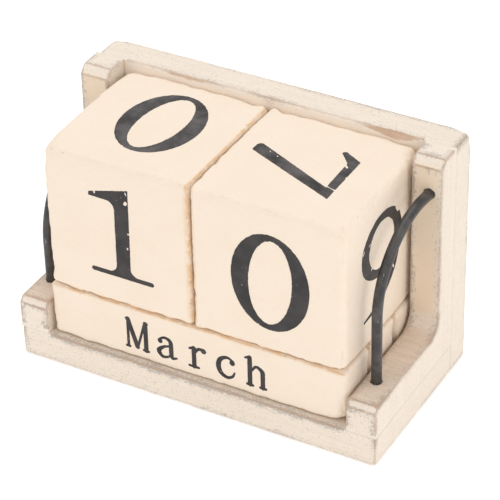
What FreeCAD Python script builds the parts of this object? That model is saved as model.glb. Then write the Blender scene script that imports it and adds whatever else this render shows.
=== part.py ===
"""Perpetual block desk calendar: a wooden frame, two date cubes and three month bars.

Millimetres. +Z is up, +X runs along the calendar's length and -Y is the side it is read from.
The origin is on the table, in the middle of the frame's footprint.
"""

import FreeCAD, Part
import math
import os

import Sketcher

DRIVING = {
    "frame_width": 150.0,       # over the two side brackets
    "frame_depth": 76.0,        # front of the feet to the back of the back board
    "frame_height": 99.8,
    "board_thickness": 12.7,    # base board and back board
    "bracket_thickness": 12.0,  # L-shaped side brackets
    "foot_top": 26.0,           # height of the brackets' feet above the table
    "upright_depth": 12.0,      # front to back, of the brackets' uprights
    "inner_radius": 7.0,        # where a foot runs up into its upright
    "foot_bevel": 2.1,          # front top edge of a foot
    "upright_bevel": 3.0,       # front top edge of an upright
    "board_round": 1.5,         # rubbed edges of the boards
    "board_corner": 3.0,        # top corners of the back board
    "cube_side": 61.0,
    "cube_round": 2.5,
    "cube_gap": 0.6,            # between the two cubes
    "bar_length": 124.0,
    "bar_depth": 19.8,
    "bar_height": 22.9,
    "bar_round": 1.8,
    "bar_gap": 0.5,             # between neighbouring bars
    "block_front": 2.1,         # frame's front to the front of the cubes and bars
    "bar_lift": 0.15,           # running clearance over the base board
    "cube_lift": 0.25,          # running clearance over the bars
    "rod_radius": 2.0,
    "rod_front": 15.1,          # frame's front to the upright leg of a rod
    "left_rod_top": 80.0,       # height of the level leg; the rods are bent by hand and differ
    "left_rod_bend": 36.0,      # centre line radius of the bend
    "right_rod_top": 86.0,
    "right_rod_bend": 32.0,
    "rod_socket": 8.0,          # depth a rod is driven into the bracket
    "brad_radius": 0.7,
    "brad_length": 22.0,
    "brad_point": 2.0,          # length of a brad's tapered point
    "brad_tip": 0.15,           # radius of the point's end
}

# Where the brads go. Each number is a distance from the frame's front or from the table.
FOOT_BRAD_FRONTS = (27.0, 45.0)
UPRIGHT_BRAD_HEIGHTS = (42.0, 76.0)
BASE_BRAD_SIDES = (-45.0, 0.0, 45.0)

doc = FreeCAD.newDocument("block_calendar")
sheet = doc.addObject("Spreadsheet::Sheet", "dims")
for row, (alias, value) in enumerate(DRIVING.items(), start=1):
    sheet.set(f"A{row}", alias)
    sheet.set(f"B{row}", str(value))
    sheet.setAlias(f"B{row}", alias)
doc.recompute()

nodes = []


def size(alias):
    """A driving dimension as a plain number."""
    return float(sheet.get(alias))


def new_body(label):
    """An empty body whose local origin is the piece's own lowest, left, front corner."""
    body = doc.addObject("PartDesign::Body", label)
    body.Label = label
    nodes.append(body)
    return body


def place(piece, x, y, z):
    """Bind a piece's position to the sheet."""
    piece.setExpression("Placement.Base.x", x)
    piece.setExpression("Placement.Base.y", y)
    piece.setExpression("Placement.Base.z", z)


def new_sketch(body, name, plane, offset=None):
    """A sketch on one of the body's origin planes, moved along the plane's normal by offset."""
    sketch = body.newObject("Sketcher::SketchObject", name)
    support = [f for f in body.Origin.OriginFeatures if f.Role == plane][0]
    sketch.AttachmentSupport = [(support, "")]
    sketch.MapMode = "FlatFace"
    if offset:
        sketch.setExpression("AttachmentOffset.Base.z", offset)
    return sketch


def drive(sketch, constraint, expression):
    """Add a constraint and bind its value to the sheet."""
    index = sketch.addConstraint(constraint)
    name = f"size_{index}"
    sketch.renameConstraint(index, name)
    sketch.setExpression(f"Constraints.{name}", expression)


def outline(sketch, corners, lengths):
    """A closed outline of level and upright lines from the local origin, with driven lengths."""
    count = len(corners)
    for n, (start, end) in enumerate(zip(corners, corners[1:] + corners[:1])):
        line = Part.LineSegment(FreeCAD.Vector(*start, 0), FreeCAD.Vector(*end, 0))
        sketch.addGeometry(line)
        level = abs(start[1] - end[1]) < 1e-6
        sketch.addConstraint(Sketcher.Constraint("Horizontal" if level else "Vertical", n))
    for n in range(count):
        sketch.addConstraint(Sketcher.Constraint("Coincident", n, 2, (n + 1) % count, 1))
    sketch.addConstraint(Sketcher.Constraint("Coincident", 0, 1, -1, 1))
    for line, expression in lengths.items():
        start, end = corners[line], corners[(line + 1) % count]
        drive(sketch, Sketcher.Constraint("Distance", line, math.dist(start, end)), expression)


def pad(body, sketch, expression, flip=False):
    feature = body.newObject("PartDesign::Pad", f"{body.Label}_pad")
    feature.Profile = sketch
    feature.setExpression("Length", expression)
    feature.Reversed = flip
    sketch.Visibility = False
    doc.recompute()
    return feature


def block(body, width, depth, height):
    """A plain rectangular block: three expressions."""
    sketch = new_sketch(body, f"{body.Label}_outline", "XY_Plane")
    outline(sketch, [(0, 0), (10, 0), (10, 10), (0, 10)], {0: width, 1: depth})
    return pad(body, sketch, height)


def edge_names(feature, wanted):
    """Names of the feature's edges whose middle and direction pass the test."""
    names = []
    for number, edge in enumerate(feature.Shape.Edges, start=1):
        start, end = edge.Vertexes[0].Point, edge.Vertexes[-1].Point
        middle = (start + end) * 0.5
        along = (end - start).normalize()
        if wanted(middle, along):
            names.append(f"Edge{number}")
    return names


def dress(body, kind, base, wanted, property_name, expression):
    """Round or bevel the edges that pass the test, and check that material was taken off."""
    names = edge_names(base, wanted)
    feature = body.newObject(f"PartDesign::{kind}", f"{body.Label}_{kind.lower()}")
    feature.Base = (base, names)
    feature.setExpression(property_name, expression)
    doc.recompute()
    assert names and feature.Shape.Volume != base.Shape.Volume, (body.Label, kind)
    return feature


def drill(body, name, plane, offset, centres, radius, depth, flip):
    """Blind or through holes: centres are pairs of expressions on the plane, both positive."""
    before = body.Tip.Shape.Volume
    sketch = new_sketch(body, name, plane, offset)
    for n, (x, y) in enumerate(centres):
        sketch.addGeometry(Part.Circle(FreeCAD.Vector(1 + n, 1 + n, 0), FreeCAD.Vector(0, 0, 1), 1))
        drive(sketch, Sketcher.Constraint("DistanceX", -1, 1, n, 3, 1), x)
        drive(sketch, Sketcher.Constraint("DistanceY", -1, 1, n, 3, 1), y)
        drive(sketch, Sketcher.Constraint("Radius", n, 1), radius)
    feature = body.newObject("PartDesign::Pocket", f"{name}_cut")
    feature.Profile = sketch
    feature.setExpression("Length", depth)
    feature.Reversed = flip
    sketch.Visibility = False
    doc.recompute()
    assert feature.Shape.Volume < before, name
    return feature


def is_near(value, target):
    return abs(value - target) < 0.01


FRONT = "-dims.frame_depth / 2"
HALF_BRACKET = "dims.bracket_thickness / 2"
BRACKET_DEPTH = "dims.frame_depth - dims.board_thickness"


def base_board():
    """The board that everything stands on, in front of the back board."""
    body = new_body("base_board")
    width = size("frame_width")
    solid = block(body, "dims.frame_width", BRACKET_DEPTH, "dims.board_thickness")
    dress(body, "Fillet", solid, lambda middle, along: is_near(middle.y, 0)
          or (is_near(middle.z, 0) and (is_near(middle.x, 0) or is_near(middle.x, width))),
          "Radius", "dims.board_round")
    centres = [(x, str(y)) for x in (HALF_BRACKET, f"dims.frame_width - {HALF_BRACKET}")
               for y in FOOT_BRAD_FRONTS]
    drill(body, "foot_brad_holes", "XY_Plane", None, centres,
          "dims.brad_radius", "dims.board_thickness", True)
    centres = [(f"dims.frame_width / 2 + {x}", "dims.board_thickness / 2") for x in BASE_BRAD_SIDES]
    drill(body, "rear_brad_holes", "XZ_Plane", f"-({BRACKET_DEPTH})", centres,
          "dims.brad_radius", "dims.brad_length - dims.board_thickness", True)
    place(body, "-dims.frame_width / 2", FRONT, "0")


def back_board():
    """The full-height board behind the cubes, nailed to the brackets and the base board."""
    body = new_body("back_board")
    width, height = size("frame_width"), size("frame_height")
    solid = block(body, "dims.frame_width", "dims.board_thickness", "dims.frame_height")
    corners = dress(body, "Fillet", solid, lambda middle, along: abs(along.y) > 0.9
                    and is_near(middle.z, height) and (is_near(middle.x, 0) or is_near(middle.x, width)),
                    "Radius", "dims.board_corner")
    rear = size("board_thickness")
    dress(body, "Fillet", corners, lambda middle, along: is_near(middle.y, rear)
          and (middle.z < height - 1e-3 or abs(along.x) > 0.9), "Radius", "dims.board_round")
    centres = [(x, str(z)) for x in (HALF_BRACKET, f"dims.frame_width - {HALF_BRACKET}")
               for z in UPRIGHT_BRAD_HEIGHTS]
    centres += [(f"dims.frame_width / 2 + {x}", "dims.board_thickness / 2") for x in BASE_BRAD_SIDES]
    drill(body, "back_brad_holes", "XZ_Plane", None, centres,
          "dims.brad_radius", "dims.board_thickness", False)
    place(body, "-dims.frame_width / 2", f"{FRONT} + {BRACKET_DEPTH}", "0")


def side_bracket(label, hand):
    """An L sawn from one board: a foot on the base board and an upright against the back board."""
    body = new_body(label)
    depth = size("frame_depth") - size("board_thickness")
    foot = size("foot_top") - size("board_thickness")
    top = size("frame_height") - size("board_thickness")
    front = depth - size("upright_depth")
    sketch = new_sketch(body, f"{label}_outline", "YZ_Plane")
    outline(sketch, [(0, 0), (depth, 0), (depth, top), (front, top), (front, foot), (0, foot)],
            {0: BRACKET_DEPTH, 1: "dims.frame_height - dims.board_thickness",
             2: "dims.upright_depth", 5: "dims.foot_top - dims.board_thickness"})
    solid = pad(body, sketch, "dims.bracket_thickness")
    solid = dress(body, "Fillet", solid, lambda middle, along: abs(along.x) > 0.9
                  and is_near(middle.y, front) and is_near(middle.z, foot), "Radius", "dims.inner_radius")
    solid = dress(body, "Chamfer", solid, lambda middle, along: abs(along.x) > 0.9
                  and is_near(middle.y, 0) and is_near(middle.z, foot), "Size", "dims.foot_bevel")
    dress(body, "Chamfer", solid, lambda middle, along: abs(along.x) > 0.9
          and is_near(middle.y, front) and is_near(middle.z, top), "Size", "dims.upright_bevel")
    drill(body, f"{label}_foot_socket", "XY_Plane", "dims.foot_top - dims.board_thickness",
          [(HALF_BRACKET, "dims.rod_front")], "dims.rod_radius", "dims.rod_socket", False)
    drill(body, f"{label}_upright_socket", "XZ_Plane", f"-({BRACKET_DEPTH} - dims.upright_depth)",
          [(HALF_BRACKET, f"dims.{hand}_rod_top - dims.board_thickness")],
          "dims.rod_radius", "dims.rod_socket", False)
    drill(body, f"{label}_foot_brads", "XY_Plane", None,
          [(HALF_BRACKET, str(y)) for y in FOOT_BRAD_FRONTS],
          "dims.brad_radius", "dims.brad_length - dims.board_thickness", True)
    drill(body, f"{label}_upright_brads", "XZ_Plane", f"-({BRACKET_DEPTH})",
          [(HALF_BRACKET, f"{z} - dims.board_thickness") for z in UPRIGHT_BRAD_HEIGHTS],
          "dims.brad_radius", "dims.brad_length - dims.board_thickness", True)
    x = "-dims.frame_width / 2" if hand == "left" else "dims.frame_width / 2 - dims.bracket_thickness"
    place(body, x, FRONT, "dims.board_thickness")


def handle_rod(label, hand):
    """A steel rod that rises from the foot, bends once and runs back into the upright."""
    body = new_body(label)
    rise = size(f"{hand}_rod_top") - size("foot_top") + size("rod_socket")
    reach = size("frame_depth") - size("board_thickness") - size("upright_depth")
    reach += size("rod_socket") - size("rod_front")
    bend = size(f"{hand}_rod_bend")
    path = new_sketch(body, f"{label}_path", "YZ_Plane")
    path.addGeometry(Part.LineSegment(FreeCAD.Vector(0, 0, 0), FreeCAD.Vector(0, rise - bend, 0)))
    corner = Part.Circle(FreeCAD.Vector(bend, rise - bend, 0), FreeCAD.Vector(0, 0, 1), bend)
    path.addGeometry(Part.ArcOfCircle(corner, math.pi / 2, math.pi))
    path.addGeometry(Part.LineSegment(FreeCAD.Vector(bend, rise, 0), FreeCAD.Vector(reach, rise, 0)))
    path.addConstraint(Sketcher.Constraint("Coincident", 0, 1, -1, 1))
    path.addConstraint(Sketcher.Constraint("Vertical", 0))
    path.addConstraint(Sketcher.Constraint("Horizontal", 2))
    path.addConstraint(Sketcher.Constraint("Tangent", 0, 2, 1, 2))
    path.addConstraint(Sketcher.Constraint("Tangent", 1, 1, 2, 1))
    drive(path, Sketcher.Constraint("Radius", 1, bend), f"dims.{hand}_rod_bend")
    drive(path, Sketcher.Constraint("DistanceX", -1, 1, 2, 2, reach),
          f"{BRACKET_DEPTH} - dims.upright_depth + dims.rod_socket - dims.rod_front")
    drive(path, Sketcher.Constraint("DistanceY", -1, 1, 2, 2, rise),
          f"dims.{hand}_rod_top - dims.foot_top + dims.rod_socket")
    section = new_sketch(body, f"{label}_section", "XY_Plane")
    section.addGeometry(Part.Circle(FreeCAD.Vector(0, 0, 0), FreeCAD.Vector(0, 0, 1), 1))
    section.addConstraint(Sketcher.Constraint("Coincident", 0, 3, -1, 1))
    drive(section, Sketcher.Constraint("Radius", 0, 1), "dims.rod_radius")
    doc.recompute()
    sweep = body.newObject("PartDesign::AdditivePipe", f"{label}_sweep")
    sweep.Profile = section
    sweep.Spine = (path, [])
    doc.recompute()
    length = rise + reach - 2 * bend + bend * math.pi / 2
    expected = math.pi * size("rod_radius") ** 2 * length
    assert abs(sweep.Shape.Volume / expected - 1) < 0.01, (label, sweep.Shape.Volume, expected)
    side = -1 if hand == "left" else 1
    place(body, f"{side} * (dims.frame_width - dims.bracket_thickness) / 2",
          f"{FRONT} + dims.rod_front", "dims.foot_top - dims.rod_socket")


def date_cube(label, x):
    """One solid wooden cube."""
    body = new_body(label)
    solid = block(body, "dims.cube_side", "dims.cube_side", "dims.cube_side")
    dress(body, "Fillet", solid, lambda middle, along: True, "Radius", "dims.cube_round")
    place(body, x, f"{FRONT} + dims.block_front",
          "dims.board_thickness + dims.bar_lift + dims.bar_height + dims.cube_lift")


def month_bar(label, row):
    """One solid bar; row counts from the front."""
    body = new_body(label)
    solid = block(body, "dims.bar_length", "dims.bar_depth", "dims.bar_height")
    dress(body, "Fillet", solid, lambda middle, along: True, "Radius", "dims.bar_round")
    place(body, "-dims.bar_length / 2",
          f"{FRONT} + dims.block_front + {row} * (dims.bar_depth + dims.bar_gap)",
          "dims.board_thickness + dims.bar_lift")


def brad(name, position, direction):
    """One headless brad, driven flush at position and pointing along direction."""
    shank = doc.addObject("Part::Cylinder", f"{name}_shank")
    shank.setExpression("Radius", "dims.brad_radius")
    shank.setExpression("Height", "dims.brad_length - dims.brad_point")
    point = doc.addObject("Part::Cone", f"{name}_point")
    point.setExpression("Radius1", "dims.brad_radius")
    point.setExpression("Radius2", "dims.brad_tip")
    point.setExpression("Height", "dims.brad_point")
    point.setExpression("Placement.Base.z", "dims.brad_length - dims.brad_point")
    whole = doc.addObject("Part::Fuse", name)
    whole.Base = shank
    whole.Tool = point
    turn = FreeCAD.Rotation(FreeCAD.Vector(0, 0, 1), FreeCAD.Vector(*direction))
    whole.Placement = FreeCAD.Placement(FreeCAD.Vector(*position), turn)
    return whole


def brad_group(label, positions, direction):
    """Alike brads that hold one joint, as separate solids under one name."""
    group = doc.addObject("Part::Compound", label)
    group.Label = label
    group.Links = [brad(f"{label}_{n}", position, direction) for n, position in enumerate(positions, 1)]
    nodes.append(group)


def brads():
    """Brads up through the base board, and forward through the back board."""
    side = (size("frame_width") - size("bracket_thickness")) / 2
    front, back = -size("frame_depth") / 2, size("frame_depth") / 2
    middle = size("board_thickness") / 2
    brad_group("foot_brads", [(x, front + y, 0) for x in (-side, side) for y in FOOT_BRAD_FRONTS],
               (0, 0, 1))
    brad_group("upright_brads", [(x, back, z) for x in (-side, side) for z in UPRIGHT_BRAD_HEIGHTS],
               (0, -1, 0))
    brad_group("base_brads", [(x, back, middle) for x in BASE_BRAD_SIDES], (0, -1, 0))


base_board()
back_board()
for hand in ("left", "right"):
    side_bracket(f"{hand}_side_bracket", hand)
    handle_rod(f"{hand}_handle_rod", hand)
date_cube("left_date_cube", "-dims.cube_gap / 2 - dims.cube_side")
date_cube("right_date_cube", "dims.cube_gap / 2")
for row, position in enumerate(("front", "middle", "rear")):
    month_bar(f"month_bar_{position}", row)
brads()
doc.recompute()

for thing in doc.Objects:
    assert not {"Invalid", "Error"} & set(thing.State), (thing.Label, thing.State)
for node in nodes:
    assert not node.Shape.isNull() and node.Shape.isValid(), node.Label

os.makedirs("parts", exist_ok=True)
for node in nodes:
    node.Shape.exportStep(f"parts/{node.Label}.step")
    box = node.Shape.BoundBox
    print(f"{node.Label:20s} {node.Shape.Volume / 1000:8.2f} cm3  "
          f"x {box.XMin:6.1f} {box.XMax:6.1f}  y {box.YMin:6.1f} {box.YMax:6.1f}  "
          f"z {box.ZMin:6.1f} {box.ZMax:6.1f}")
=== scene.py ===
"""The looks of the block calendar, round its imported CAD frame. +Z is up, -Y the reading side."""

import cmath
import itertools
import math

import bmesh
import bpy
import numpy as np
from mathutils import Matrix, Vector
from mathutils.geometry import delaunay_2d_cdt


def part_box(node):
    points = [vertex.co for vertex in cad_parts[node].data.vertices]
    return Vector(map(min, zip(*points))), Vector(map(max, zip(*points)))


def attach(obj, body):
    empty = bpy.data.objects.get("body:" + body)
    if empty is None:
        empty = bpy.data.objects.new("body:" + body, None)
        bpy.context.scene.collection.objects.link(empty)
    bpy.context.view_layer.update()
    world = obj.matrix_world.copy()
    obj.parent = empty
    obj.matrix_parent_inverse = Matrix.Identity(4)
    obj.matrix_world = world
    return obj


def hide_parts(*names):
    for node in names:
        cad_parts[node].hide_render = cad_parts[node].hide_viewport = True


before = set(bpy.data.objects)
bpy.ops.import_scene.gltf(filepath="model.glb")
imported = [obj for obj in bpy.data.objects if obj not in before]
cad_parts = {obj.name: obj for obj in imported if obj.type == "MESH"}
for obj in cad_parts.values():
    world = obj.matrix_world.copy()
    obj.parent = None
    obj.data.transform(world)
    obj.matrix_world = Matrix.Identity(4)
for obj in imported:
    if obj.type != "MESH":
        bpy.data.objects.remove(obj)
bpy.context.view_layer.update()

MM = 0.001  # metres; all sizes below are in millimetres unless a comment says otherwise
ROD_BENDS = {"left": 36.0, "right": 32.0}  # centre line radius of each rod's bend
ROD_ENDS = {"left": (-70.3, -69.6), "right": (67.7, 70.0)}  # how far across each rod meets foot and upright

# ---- smooth seeded noise


def lattice(cells, seed):
    """A repeatable random value from -1 to 1 for each whole-number cell."""
    x, y, z = (cells[..., n].astype(np.int64) for n in range(3))
    mixed = (x * 73856093) ^ (y * 19349663) ^ (z * 83492791) ^ (seed * 2654435761)
    mixed = (mixed ^ (mixed >> 13)) * 1274126177
    return ((mixed ^ (mixed >> 16)) & 0xFFFFF) / float(0x7FFFF) - 1.0


def noise(points, wavelength, seed):
    """Smooth noise from -1 to 1 that changes over about one wavelength (mm)."""
    scaled = points / wavelength + 100.5
    base = np.floor(scaled)
    part = scaled - base
    part = part * part * (3 - 2 * part)
    total = np.zeros(points.shape[:-1])
    for corner in np.ndindex(2, 2, 2):
        weight = np.prod(np.where(corner, part, 1 - part), axis=-1)
        total += weight * lattice(base + np.array(corner), seed)
    return total


def rough(points, wavelength, seed, octaves=3):
    """Several sizes of noise added up."""
    return sum(noise(points, wavelength / 2**n, seed + n) / 2**n for n in range(octaves)) / 1.6


def smoothstep(low, high, value):
    t = np.clip((value - low) / (high - low), 0, 1)
    return t * t * (3 - 2 * t)


# ---- meshes


def box(node):
    """Low and high corner of one CAD node."""
    return (np.array(corner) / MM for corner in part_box(node))


def stands_for(piece, body, node):
    """Let a piece move with its body and take the place of a CAD node."""
    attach(piece, body)
    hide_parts(node)


def new_piece(name, vertices, faces, material, attributes=None, smooth=True):
    """A mesh object from points in millimetres, with named numbers on its points."""
    mesh = bpy.data.meshes.new(name)
    mesh.from_pydata((np.asarray(vertices) * MM).tolist(), [], [tuple(f) for f in faces])
    for label, values in (attributes or {}).items():
        layer = mesh.attributes.new(label, "FLOAT", "POINT")
        layer.data.foreach_set("value", np.asarray(values, np.float32))
    shape = bmesh.new()
    shape.from_mesh(mesh)
    bmesh.ops.recalc_face_normals(shape, faces=shape.faces)
    shape.to_mesh(mesh)
    shape.free()
    mesh.polygons.foreach_set("use_smooth", [smooth] * len(mesh.polygons))
    mesh.materials.append(material)
    mesh.update()
    piece = bpy.data.objects.new(name, mesh)
    bpy.context.scene.collection.objects.link(piece)
    return piece


def stations(low, high, fine, coarse, margin):
    """Places along one side of a block: close together near both ends, further apart between."""
    near = np.linspace(0, margin, max(2, round(margin / fine) + 1))
    middle_count = max(2, round((high - low - 2 * margin) / coarse) + 1)
    middle = np.linspace(low + margin, high - margin, middle_count)
    return np.unique(np.round(np.concatenate([low + near, middle, high - near]), 5))


def shell(axes):
    """The six faces of a block as one closed grid: points and quads."""
    index, points, faces = {}, [], []

    def number(key):
        if key not in index:
            index[key] = len(points)
            points.append([axes[n][key[n]] for n in range(3)])
        return index[key]

    for normal in range(3):
        u, v = (normal + 1) % 3, (normal + 2) % 3
        for end in (0, len(axes[normal]) - 1):
            for i in range(len(axes[u]) - 1):
                for j in range(len(axes[v]) - 1):
                    ring = []
                    for a, b in ((i, j), (i + 1, j), (i + 1, j + 1), (i, j + 1)):
                        key = [0, 0, 0]
                        key[normal], key[u], key[v] = end, a, b
                        ring.append(number(tuple(key)))
                    faces.append(ring if end else ring[::-1])
    return np.array(points), faces


def face_gaps(points, low, high):
    """How far each point is from each face of a block, the faces named "x-" to "z+"."""
    return {"xyz"[n] + sign: np.abs(points[..., n] - end[n])
            for n in range(3) for sign, end in (("-", low), ("+", high))}


def edge_distance(points, low, high, joints=None):
    """How far each point on a block's surface is from its nearest edge.

    joints names the edges that another piece closes, each with a function that says where along
    the edge it does; those count as CLOSED further away.
    """
    gaps = face_gaps(points, low, high)
    nearest = np.full(points.shape[:-1], 99.0)
    for first, second in itertools.combinations(gaps, 2):
        if first[0] != second[0]:
            gap = np.hypot(gaps[first], gaps[second])
            closed = (joints or {}).get(first + second)
            nearest = np.minimum(nearest, gap + CLOSED * closed(points) if closed else gap)
    return nearest


def rounded(points, low, high, radius):
    """Points on a block moved onto the same block with edges of that radius, one for each point."""
    middle, half = (low + high) / 2, (high - low) / 2
    offset = points - middle
    inner = half - radius[..., None]
    core = np.clip(offset, -inner, inner)
    out = offset - core
    length = np.linalg.norm(out, axis=-1, keepdims=True)
    return middle + core + out / np.maximum(length, 1e-9) * np.minimum(length, radius[..., None])


def outward(points, low, high, radius):
    """The outward direction of the rounded block at each of those points."""
    offset = points - (low + high) / 2
    inner = (high - low) / 2 - radius[..., None]
    out = offset - np.clip(offset, -inner, inner)
    return out / np.maximum(np.linalg.norm(out, axis=-1, keepdims=True), 1e-9)


SINK = 0.10      # how far the mean painted surface lies inside the CAD face
INK_RISE, INK_THICKNESS = 0.05, 0.12  # how far the ink stands on the paint, and its sheet's thickness
CLOSED = 9       # how much further away a closed edge counts as


def worn_radius(low, high, edge_radius, extra, seed, snug):
    """Radius of a hand-rubbed block's edges: more towards corners, less where it lies against another.

    snug gives, for each face that has a neighbour, how much of the radius is missing there.
    """
    def radius(points):
        corner = smoothstep(13, 3, np.sort(np.minimum(points - low, high - points), axis=-1)[..., 2])
        size = edge_radius + extra * corner + 0.22 * edge_radius * noise(points, 34.0, seed + 5)
        gaps = face_gaps(points, low, high)
        for face, less in snug.items():
            size = size * (1 - less * smoothstep(7, 2, gaps[face]))
        return size
    return radius


def near_edges(points, low, high, edges):
    """From 0 to 1: how close each point is to any of the named edges, each with its own width."""
    gaps = face_gaps(points, low, high)
    value = np.zeros(points.shape[:-1])
    for edge, width in edges.items():
        gap = np.hypot(gaps[edge[:2]], gaps[edge[2:]])
        value = np.maximum(value, 1 - smoothstep(0.0, width, gap))
    return value


def weathered(low, high, radius, swing, chip, seed, least=0.3):
    """How a painted block differs from its ideal one: uneven rubbed edges, chips, slightly wavy faces."""

    def form(points):
        distance = edge_distance(points, low, high)
        wander = np.maximum(least, radius(points) + swing * rough(points, 3.8, seed))
        moved = rounded(points, low, high, wander)
        near = 1 - smoothstep(0.4, 3.2, distance)
        chips = chip * near * smoothstep(0.2, 0.75, rough(points, 2.7, seed + 20))
        sink = SINK + 0.035 * rough(points, 12.0, seed + 40) + 0.03 * noise(points, 4.0, seed + 60) + chips
        return moved - outward(points, low, high, wander) * sink[..., None]

    return form


def block_piece(name, node, material, form_of, fine=0.45, coarse=1.5, margin=6.0, carve=None, joints=None,
                wear_and_gap_shade=None, warm=None):
    """A worn block in place of one CAD node. Returns the piece and the function that shapes it."""
    low, high = box(node)
    form = form_of(low, high)
    axes = [stations(low[n], high[n], fine, coarse, min(margin, (high[n] - low[n]) / 2.2)) for n in range(3)]
    points, faces = shell(axes)
    moved = form(points)
    bare_wood_and_shade = np.zeros(len(points))
    if carve:
        moved, bare_wood_and_shade = carve(points, moved, low, high)
    # the wear numbers: real wear on the boards, painted warm gap shade on the cubes and bars
    values = {"edge": edge_distance(points, low, high, joints), "bare_wood_and_shade": bare_wood_and_shade,
              "wear_and_gap_shade": wear_and_gap_shade(points, low, high) if wear_and_gap_shade else np.full(len(points), 0.5),
              "warm": warm(points, low, high) if warm else np.zeros(len(points))}
    return new_piece(name, moved, faces, material, values), form, low, high


# ---- the side brackets


def tube_faces(rows, count):
    """The quads between rings of count points each."""
    faces = []
    for row in range(rows - 1):
        for n in range(count):
            a, b, following = row * count, (row + 1) * count, (n + 1) % count
            faces.append((a + n, b + n, b + following, a + following))
    return faces


def arc_outline(corners, step):
    """A closed outline through (y, z, radius) corners, each rounded, sampled about every step."""
    places, points = [complex(y, z) for y, z, _ in corners], []
    for n, (here, (_, _, radius)) in enumerate(zip(places, corners)):
        arriving, leaving = here - places[n - 1], places[(n + 1) % len(places)] - here
        arriving, leaving = arriving / abs(arriving), leaving / abs(leaving)
        turn = cmath.phase(leaving / arriving)
        start = here - arriving * radius * math.tan(abs(turn) / 2)
        spoke = math.copysign(radius, turn) * arriving * 1j
        for part in np.linspace(0, 1, max(4, round(radius * abs(turn) / step) + 1)):
            points.append(start + spoke - spoke * cmath.exp(1j * turn * part))
    dense = []
    for start, end in zip(points, points[1:] + points[:1]):
        pieces = max(1, round(abs(end - start) / step))
        dense += [start + (end - start) * k / pieces for k in range(pieces)]
    return np.array([(point.real, point.imag) for point in dense])


SEAM_ROUND = 0.05  # corner radius where a board lies against the bracket


def inward_normals(outline):
    along = np.roll(outline, -1, axis=0) - np.roll(outline, 1, axis=0)
    along /= np.linalg.norm(along, axis=1, keepdims=True)
    return np.stack([-along[:, 1], along[:, 0]], axis=1)


def bracket_outline(front, upright, foot, rear, top, base):
    """The L's outline from the side, and 1 where it lies against a board, 0 where it is open."""
    corners = [(front, base, SEAM_ROUND), (rear, base, SEAM_ROUND), (rear, top, SEAM_ROUND),
               (upright + UPRIGHT_BEVEL, top, 0.9), (upright, top - UPRIGHT_BEVEL, 0.9),
               (upright, foot, INNER_RADIUS),
               (front + FOOT_BEVEL, foot, 0.8), (front, foot - FOOT_BEVEL, 0.8)]
    outline = arc_outline(corners, 0.55)
    seam = np.maximum(smoothstep(base + 2.2, base + 0.6, outline[:, 1]),
                      smoothstep(rear - 2.2, rear - 0.6, outline[:, 0]))
    return outline, seam, np.array([c[:2] for c in corners if 0.5 < c[2] < 2])


def bracket_piece(name, node, material, seed):
    """The L: its outline is walked round once for every step across its thickness, and capped."""
    low, high = box(node)
    front, upright = low[1], high[1] - UPRIGHT_DEPTH
    foot, rear, top, base = FOOT_TOP, high[1], high[2], low[2]
    outline, seam, bevel_corners = bracket_outline(front, upright, foot, rear, top, base)
    inward = inward_normals(outline)
    beside_low = np.column_stack([np.full(len(outline), low[0]), outline])
    bevel = (0.55 + 0.2 * rough(beside_low, 5.0, seed)) * (1 - seam) + LEAST_ROUND * seam
    half, middle = (high[0] - low[0]) / 2, (high[0] + low[0]) / 2
    quarter, wall = np.linspace(math.pi / 2, 0, 6), np.linspace(-1, 1, 11)[1:-1]
    rows = [(-1, turn) for turn in quarter] + [(0, part) for part in wall]
    rows += [(1, turn) for turn in quarter[::-1]]
    points, edge = [], []
    for side, value in rows:
        if side == 0:
            inset, across = np.zeros(len(outline)), (half - bevel) * value
        else:
            inset, across = bevel * (1 - math.cos(value)), side * (half - bevel * (1 - math.sin(value)))
        points.append(np.column_stack([middle + across, outline + inward * inset[:, None]]))
        edge.append(half - np.abs(across) + inset + 6 * seam)
    points, edge = np.concatenate(points), np.concatenate(edge)
    faces = tube_faces(len(rows), len(outline))
    gaps = np.linalg.norm(points[:, None, 1:] - bevel_corners[None], axis=2).min(axis=1)
    edge = np.minimum(edge, gaps + 0.05)
    for row, flip in ((0, False), (len(rows) - 1, True)):
        points, edge, caps = cap(points, edge, row * len(outline), len(outline), seam, flip)
        faces += caps

    y, z, across = points[:, 1], points[:, 2], np.abs(points[:, 0] - middle)
    wander = 0.03 * rough(points, 11.0, seed + 3)[:, None]
    towards = np.column_stack([np.sign(middle - points[:, 0]) * (edge > 1.2), np.zeros((len(points), 2))])
    on_upright = smoothstep(-1.5, 0.5, upright - y) * smoothstep(0.5, -1.5, foot + INNER_RADIUS - z)
    on_foot = smoothstep(foot - 1.0, foot, z) * smoothstep(upright - 1, upright - 4, y)
    on_bevel = np.zeros(len(points))
    for face, level, bevelled in ((upright, top, UPRIGHT_BEVEL), (front, foot, FOOT_BEVEL)):
        here = smoothstep(face + bevelled, face + bevelled - 0.6, y)
        here = here * smoothstep(level - bevelled, level - bevelled + 0.6, z)
        on_bevel = np.maximum(on_bevel, here)
    # painted shade: a warm tint on the upright's front above the foot, and a wood-coloured tint on the foot's
    # top
    values = {"edge": edge + 3 * on_bevel * (across < half - 0.9),
              "bare_wood_and_shade": np.where(across < half - 0.5, 0.42 * on_foot, 0),
              "warm": 0.85 * on_upright * smoothstep(half - 0.8, half - 2.6, across),
              "wear_and_gap_shade": np.full(len(points), 0.5)}
    return new_piece(name, points + towards * (SINK + wander), faces, material, values)


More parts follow.
